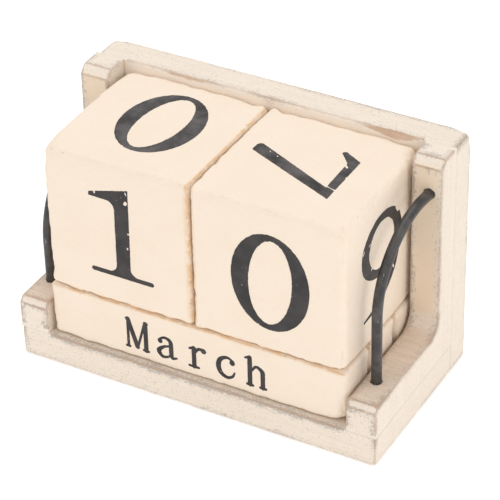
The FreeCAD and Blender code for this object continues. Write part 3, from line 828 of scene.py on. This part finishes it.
def ink():
    """Worn charcoal print: a dull black with greyer patches, much stronger on top faces as a painted
    reflection, and pinholes.
    """
    material, tree, shader = new_material("ink", 0.5, 0.3)
    colour = blend(ease(texture(tree, 7.0, detail=4.0), 0.35, 0.7), INK_DARK, INK_LIGHT)
    worn = texture(tree, 9.0, detail=5.0, roughness=0.6, shift=0.2)
    # greyer patches: wear, and on top faces a painted reflection
    colour = blend(ease(worn, 0.3, 0.72) * measure(tree, "fade_and_reflection"), colour, INK_WORN_AND_REFLECTION)
    holes = ease(texture(tree, 0.9, detail=2.0, shift=0.4), 0.75, 0.79)
    feed(shader, "Base Color", blend(holes * 0.8, colour, CREAM))
    relief(shader, texture(tree, 0.9), 0.05)
    return material


def rod_steel():
    """Blackened steel wire with a dull sheen and small pale scuffs."""
    material, tree, shader = new_material("rod_steel", 0.42, 0.5, 0.35)
    mottle = ease(texture(tree, 5.0, detail=5.0), 0.35, 0.7)
    scuffs = ease(texture(tree, 1.4, (1, 1, 3), detail=2.0, shift=0.6), 0.66, 0.74)
    feed(shader, "Base Color", blend(scuffs * 0.55, blend(mottle, ROD_DARK, ROD_LIGHT), ROD_SCUFF))
    feed(shader, "Roughness", ease(mottle, 0.0, 1.0, 0.34, 0.52))
    relief(shader, texture(tree, 1.5), 0.06)
    return material


def brad_steel():
    material, tree, shader = new_material("brad_steel", 0.35, 0.5, 0.9)
    feed(shader, "Base Color", blend(texture(tree, 0.5, (1, 1, 10), detail=2.0), BRAD_DARK, BRAD_LIGHT))
    return material


# ---- the frame

FOOT_TOP, UPRIGHT_DEPTH, INNER_RADIUS = 26.0, 12.0, 7.0
FOOT_BEVEL, UPRIGHT_BEVEL = 2.1, 3.0
BRACKET_INNER = 63.0  # x of the brackets' inner faces
BOARD_ROUND, LEAST_ROUND = 1.25, 0.03  # edge radius of a board, and where another piece closes the edge
PAINT_ALONG_X = frame_paint("frame_paint_along_x", (14, 1, 1))
LEFT_PAINT = frame_paint("left_bracket_paint", (7, 1, 14), "left")
RIGHT_PAINT = frame_paint("right_bracket_paint", (7, 1, 14), "right")
BLOCK_PAINT, INK, ROD_STEEL, BRAD_STEEL = block_paint(), ink(), rod_steel(), brad_steel()
DIMPLE_RADIUS, DIMPLE_DEPTH = 1.3, 0.28  # the filled-over dimple above a brad


def dimples(points, moved, places, axis, inward):
    """Shallow filled-over dimples where the brads went in."""
    for place in places:
        gap = np.linalg.norm(np.delete(points - place, axis, axis=1), axis=1)
        depth = DIMPLE_DEPTH * (1 - smoothstep(0.2, DIMPLE_RADIUS, gap))
        near = np.abs(points[:, axis] - place[axis]) < 0.01
        moved[:, axis] += inward * depth * near
    return moved


def brad_places(node):
    """Where each brad of a group goes in: the middle of its outer end, worked out from its points."""
    points = np.array([v.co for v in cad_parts[node].data.vertices]) / MM
    axis = 2 if node == "foot_brads" else 1
    outer = points[:, axis].min() if axis == 2 else points[:, axis].max()
    rim = points[np.abs(points[:, axis] - outer) < 0.01]
    places = []
    for point in rim:
        if all(np.linalg.norm(point - known) > 3 for known in places):
            near = rim[np.linalg.norm(rim - point, axis=1) < 3]
            places.append((near.min(axis=0) + near.max(axis=0)) / 2)
    return places


def beside(points):
    """1 where a side bracket covers a board, 0 between the brackets."""
    return smoothstep(BRACKET_INNER - 1.2, BRACKET_INNER + 0.6, np.abs(points[..., 0]))


def everywhere(points):
    return np.ones(points.shape[:-1])


BASE_JOINTS = {"x-z+": everywhere, "x+z+": everywhere, "x-y+": everywhere, "x+y+": everywhere,
               "y+z-": everywhere, "y+z+": everywhere, "y-z+": beside}
BACK_JOINTS = {"x-y-": everywhere, "x+y-": everywhere, "y-z-": everywhere, "y-z+": beside}


def board_form(joints, seed, soft_corner):
    """A board with rubbed round edges, crisp where another piece is joined to it."""
    def form_of(low, high):
        def radius(points):
            further = edge_distance(points, low, high, joints) - edge_distance(points, low, high)
            closed = smoothstep(0.0, 2.5, further)
            corner = smoothstep(8, 2.5, high[0] - np.abs(points[..., 0]))
            corner = corner * smoothstep(high[2] - 8, high[2] - 2.5, points[..., 2])
            return (BOARD_ROUND + soft_corner * corner) * (1 - closed)
        return weathered(low, high, radius, 0.3, 0.12, seed, LEAST_ROUND)
    return form_of


def base_carve(points, moved, low, high):
    return dimples(points, moved, brad_places("foot_brads"), 2, 1), np.zeros(len(points))


def base_wear(points, low, high):
    """Rubbed hardest along the front top edge, right of the middle."""
    front_top = smoothstep(6, 1, np.hypot(points[:, 1] - low[1], points[:, 2] - high[2]))
    along = 0.75 + 0.25 * smoothstep(-60, 30, points[:, 0])
    return 0.4 + 0.6 * front_top * along


def back_wear(points, low, high):
    """Rubbed hardest along the rear top edge, right of the middle, and at the top corners."""
    rear_top = smoothstep(5, 1, np.hypot(points[:, 1] - high[1], points[:, 2] - high[2]))
    corner = smoothstep(16, 4, high[0] - np.abs(points[:, 0]))
    corner = corner * smoothstep(high[2] - 14, high[2] - 3, points[:, 2])
    return np.clip(0.4 + 0.5 * rear_top * smoothstep(-30, 30, points[:, 0]) + 0.5 * corner, 0, 1)


def back_bounce_light(points, low, high):
    """The face behind the cubes gets painted bounce light: a lighter, warmer colour."""
    return 0.95 * smoothstep(1.0, 0.2, points[:, 1] - low[1]) * (1 - beside(points))


SCOOPS = ((-57.0, -24.0, 1.7), (30.0, 62.5, 3.4))  # planed slivers: from x, to x, height down the front


def back_carve(points, moved, low, high):
    """The two slivers planed off under the front top edge, down to the wood, and the brads' dimples."""
    x = points[:, 0]
    wander = 1 + 0.12 * rough(points * (1, 0, 0), 6.0, 31)
    height = np.zeros(len(points))
    for start, end, tallest in SCOOPS:
        part = np.clip((x - start) / (end - start), 0, 1)
        height += tallest * np.sin(math.pi * part**1.5) ** 1.1 * wander
    depth = 0.16 * height + 0.12 * smoothstep(0, 0.4, height)
    slope = depth / np.maximum(height, 1e-6)
    lowest = high[2] - SINK - height
    limit = low[1] + SINK + slope * np.maximum(moved[:, 2] - lowest, 0)
    cut = np.where((height > 0.02) & (moved[:, 2] > lowest), np.maximum(limit - moved[:, 1], 0), 0)
    moved = moved + cut[:, None] * np.array([0, 1, 0])
    for group in ("upright_brads", "base_brads"):
        moved = dimples(points, moved, brad_places(group), 1, -1)
    return moved, smoothstep(0.01, 0.06, cut)


def frame_pieces():
    base = block_piece("base_board_wood", "base_board", PAINT_ALONG_X, board_form(BASE_JOINTS, 11, 0),
                       0.45, 1.6, 5.0, base_carve, BASE_JOINTS, base_wear)[0]
    back = block_piece("back_board_wood", "back_board", PAINT_ALONG_X, board_form(BACK_JOINTS, 12, 1.6),
                       0.4, 1.2, 6.0, back_carve, BACK_JOINTS, back_wear, back_bounce_light)[0]
    left = bracket_piece("left_bracket_wood", "left_side_bracket", LEFT_PAINT, 21)
    right = bracket_piece("right_bracket_wood", "right_side_bracket", RIGHT_PAINT, 22)
    nodes = ("base_board", "back_board", "left_side_bracket", "right_side_bracket")
    for piece, name in zip((base, back, left, right), nodes):
        stands_for(piece, "frame", name)


# ---- the rods and the brads


def swept(centres, radii, facets):
    """A closed round tube through centres that lie in a plane of constant x; radii as given."""
    centres = np.array(centres)
    along = np.gradient(centres, axis=0)
    along /= np.linalg.norm(along, axis=1, keepdims=True)
    side = np.array([1.0, 0, 0])
    points = []
    for centre, direction, radius in zip(centres, along, radii):
        up = np.cross(direction, side)
        for turn in np.arange(facets) * 2 * math.pi / facets:
            points.append(centre + radius * (math.cos(turn) * side + math.sin(turn) * up))
    last = (len(centres) - 1) * facets
    ends = [range(facets), range(last + facets - 1, last - 1, -1)]
    return np.array(points), tube_faces(len(centres), facets) + [tuple(end) for end in ends]


ROD_SOCKET = 8.0  # how deep a rod goes into the wood


def rod_piece(hand, seed):
    """Bent wire: up from the foot, round one bend and back to the upright, a little out of true."""
    low, high = box(hand + "_handle_rod")
    radius = (high[0] - low[0]) / 2
    front, top, bend = low[1] + radius, high[2] - radius, ROD_BENDS[hand]
    path = [(0, front, z) for z in np.arange(low[2], top - bend, 0.6)]
    path += [(0, front + bend * (1 - math.cos(turn)), top - bend * (1 - math.sin(turn)))
             for turn in np.linspace(0, math.pi / 2, 80)]
    path += [(0, y, top) for y in np.arange(front + bend + 0.6, high[1], 0.6)]
    path = np.array(path)
    foot_x, head_x = ROD_ENDS[hand]
    path[:, 0] = foot_x + (head_x - foot_x) * (path[:, 1] - front) / (high[1] - ROD_SOCKET - front)
    radii = radius * (0.985 + 0.012 * rough(path, 6.0, seed))
    points, faces = swept(path, radii, 40)
    piece = new_piece(hand + "_rod_wire", points, faces, ROD_STEEL)
    stands_for(piece, "frame", hand + "_handle_rod")


BRAD_SET = 0.9  # how deep the brads are punched under the filler


def brad_pieces():
    for group in ("foot_brads", "upright_brads", "base_brads"):
        low, high = box(group)
        axis = 2 if group == "foot_brads" else 1
        inward = np.array([0, 0, 1]) if axis == 2 else np.array([0, -1, 0])
        length = high[axis] - low[axis]
        profile = [(BRAD_SET, 0.55), (BRAD_SET + 0.15, 0.68), (BRAD_SET + 1.0, 0.68), (BRAD_SET + 1.3, 0.6),
                   (length - 2.2, 0.6), (length - 1.0, 0.35), (length - 0.1, 0.12)]
        points, faces = [], []
        for place in brad_places(group):
            centres = [place + inward * depth for depth, _ in profile]
            tube, cells = swept(centres, [radius for _, radius in profile], 16)
            faces += [[v + len(points) for v in cell] for cell in cells]
            points += tube.tolist()
        piece = new_piece(group + "_steel", points, faces, BRAD_STEEL)
        stands_for(piece, "frame", group)


# ---- cubes and bars

RIGHT, BACK, UP = np.array([1.0, 0, 0]), np.array([0, 1.0, 0]), np.array([0, 0, 1.0])
FACES = {  # the way out of a face, the way its print reads and its up
    "front": (-BACK, RIGHT, UP), "top": (UP, RIGHT, BACK), "right": (RIGHT, BACK, UP),
    "back": (BACK, -RIGHT, UP), "left": (-RIGHT, -BACK, UP), "bottom": (-UP, RIGHT, -BACK),
}
CUBES = {
    "left_cube": {"front": ("1", 0, 0.6, 1.2), "top": ("0", 0, 1.4, 1.0), "right": ("4", 0, 0, 0),
                  "back": ("2", 0, 0, 0), "left": ("3", 90, 0, 0), "bottom": ("5", 180, 0, 0)},
    "right_cube": {"front": ("0", 0, 1.2, -1.2), "top": ("7", -90, -2.7, -0.4), "right": ("9", 0, 0.3, 0.4),
                   "back": ("1", 0, 0, 0), "left": ("8", 90, 0, 0), "bottom": ("2", 180, 0, 0)},
}
MONTHS = {
    "front_bar": {"front": "March", "top": "April", "back": "January", "bottom": "February"},
    "middle_bar": {"front": "June", "top": "August", "back": "May", "bottom": "July"},
    "rear_bar": {"front": "October", "top": "September", "back": "November", "bottom": "December"},
}
CUBE_SNUG = {"left_cube": {"z-": 0.5, "x+": 0.4}, "right_cube": {"z-": 0.5, "x-": 0.55}}
CUBE_GAP_SHADE = {  # where painted warm shade darkens a cube's edges that lie in gaps against its neighbours, and how wide
    "left_cube": {"x+y-": 2.8, "x+z+": 1.4, "y-z-": 1.7, "x-z-": 1.5},
    "right_cube": {"x-y-": 1.8, "x-z+": 1.4, "y-z-": 1.7, "x+z-": 2.2, "x+y+": 4.6},
}
BAR_SNUG = {"z+": 0.45, "x+": -0.45}
# painted warm shade along a bar's edges in the gaps under the cubes and against the brackets, and how wide
BAR_GAP_SHADE = {"y-z+": 1.5, "x+y+": 1.8, "x+z-": 2.4, "x-y-": 1.6}
CUBE_EDGES, BAR_EDGES = (2.9, 1.7, 1.0, 0.5), (2.0, 1.0, 0.75, 0.4)  # as painted_block takes them
CUBE_GRID, BAR_GRID = (0.42, 1.3, 6.5), (0.45, 1.4, 5.0)
DIGIT_HEIGHT, LETTER_PITCH, LETTER_MIDDLE = 39.5, 12.6, 7.2
DIGIT_FIELD, LETTER_FIELD = (18.0, -2.0, 42.5, 0.25), (6.0, -4.5, 15.0, 0.16)  # half width, low, high, step
WORD_RIGHT, WORD_UP = 0.4, {"top": 1.8, "bottom": 1.8}  # how far off the middle a month is printed
FRAY, DIGIT_FRAY, LETTER_FRAY = {"9": 0.26, "0": 0.14}, 0.12, 0.07  # how ragged the print's edges are


def face_print(glyph, low, high, face, turn, shift_right, shift_up):
    """A flat glyph set on one face of a block, turned about the face's middle."""
    out, right, up = FACES[face]
    middle = (low + high) / 2 + out * np.abs((high - low) / 2)
    angle = math.radians(turn)
    turned_right = right * math.cos(angle) + up * math.sin(angle)
    turned_up = up * math.cos(angle) - right * math.sin(angle)
    return glyph[0], glyph[1], middle + right * shift_right + up * shift_up, turned_right, turned_up, out


def painted_block(body, node, seed, edges, snug, tan, grid):
    """A cube or bar. edges: its radius, more at corners, uneven by, chips; grid: fine, coarse, margin."""
    edge_radius, extra, swing, chip = edges

    def form_of(low, high):
        return weathered(low, high, worn_radius(low, high, edge_radius, extra, seed, snug), swing, chip, seed)

    # painted warm shade near the edges that lie in gaps
    def painted_gap_shade(points, low, high):
        return near_edges(points, low, high, tan)

    piece, *shape = block_piece(body + "_wood", node, BLOCK_PAINT, form_of, *grid, wear_and_gap_shade=painted_gap_shade)
    stands_for(piece, body, node)
    return shape


def cube_piece(body, seed):
    form, low, high = painted_block(body, body.replace("cube", "date_cube"), seed, CUBE_EDGES,
                                    CUBE_SNUG[body], CUBE_GAP_SHADE[body], CUBE_GRID)
    prints = []
    for number, (face, (digit, turn, right, up)) in enumerate(CUBES[body].items()):
        flat, cells = inked(DIGITS[digit], *DIGIT_FIELD, FRAY.get(digit, DIGIT_FRAY), seed + number)
        flat = flat - np.array([0, DIGIT_HEIGHT / 2])
        prints.append(face_print((flat, cells), low, high, face, turn, right, up))
    print_on(body + "_numerals", body, INK, form, prints)


def bar_piece(body, seed):
    form, low, high = painted_block(body, "month_bar_" + body.removesuffix("_bar"), seed,
                                    BAR_EDGES, BAR_SNUG, BAR_GAP_SHADE, BAR_GRID)
    prints = []
    for face, month in MONTHS[body].items():
        for place, letter in enumerate(month):
            flat, cells = inked(LETTERS[letter], *LETTER_FIELD, LETTER_FRAY, seed + place)
            flat = flat + np.array([(place - (len(month) - 1) / 2) * LETTER_PITCH, -LETTER_MIDDLE])
            prints.append(face_print((flat, cells), low, high, face, 0, WORD_RIGHT, WORD_UP.get(face, 0)))
    print_on(body + "_lettering", body, INK, form, prints)


frame_pieces()
rod_piece("left", 51)
rod_piece("right", 52)
brad_pieces()
cube_piece("left_cube", 61)
cube_piece("right_cube", 62)
for number, body in enumerate(MONTHS):
    bar_piece(body, 71 + number)


# ---- floor, light and camera


def floor():
    """A white light table: pale, a little lit from within, so that shadows stay faint."""
    material, tree, shader = new_material("floor", 0.8, 0.1)
    feed(shader, "Base Color", blend(texture(tree, 400.0), (0.93, 0.93, 0.93, 1), (0.95, 0.95, 0.95, 1)))
    shader.inputs["Emission Color"].default_value = (1, 1, 1, 1)
    shader.inputs["Emission Strength"].default_value = 0.28
    half = 4000.0
    square = [(-half, -half, 0), (half, -half, 0), (half, half, 0), (-half, half, 0)]
    new_piece("floor", square, [(0, 1, 2, 3)], material, smooth=False)


def soft_light(name, place, target, width, power):
    lamp = bpy.data.lights.new(name, "AREA")
    lamp.shape, lamp.size, lamp.size_y, lamp.energy = "RECTANGLE", width, width, power
    holder = bpy.data.objects.new(name, lamp)
    holder.location = place
    holder.rotation_euler = (Vector(target) - Vector(place)).to_track_quat("-Z", "Y").to_euler()
    bpy.context.scene.collection.objects.link(holder)


def lighting():
    """White surroundings and three soft lamps, their places and widths in metres."""
    world = bpy.data.worlds.new("studio")
    world.use_nodes = True
    world.node_tree.nodes["Background"].inputs["Color"].default_value = (1.0, 1.0, 1.0, 1)
    world.node_tree.nodes["Background"].inputs["Strength"].default_value = 0.80
    bpy.context.scene.world = world
    soft_light("key", (0.95, -0.25, 0.55), (0, 0, 0.05), 0.35, 1.15)
    soft_light("fill", (-0.5, -0.9, 0.6), (0, 0, 0.05), 0.6, 0.42)
    soft_light("overhead", (-0.1, 0.1, 1.1), (0, 0, 0.05), 0.7, 2.9)
    bpy.context.scene.view_settings.view_transform = "Standard"


def camera():
    """Looking down from the front right, a touch off level, with a long lens. Places in metres."""
    azimuth, height, roll, distance = math.radians(29.67), math.radians(34.8), math.radians(-1.46), 0.9228
    lens = bpy.data.cameras.new("camera")
    lens.lens, lens.sensor_width, lens.clip_start = 179.1, 36.0, 0.05
    holder = bpy.data.objects.new("camera", lens)
    aim = Matrix.Translation((0.0028, 0.002, 0.0474)) @ Matrix.Rotation(azimuth, 4, "Z")
    aim = aim @ Matrix.Rotation(math.pi / 2 - height, 4, "X") @ Matrix.Rotation(roll, 4, "Z")
    holder.matrix_world = aim @ Matrix.Translation((0, 0, distance))
    bpy.context.scene.collection.objects.link(holder)
    bpy.context.scene.camera = holder


floor()
lighting()
camera()
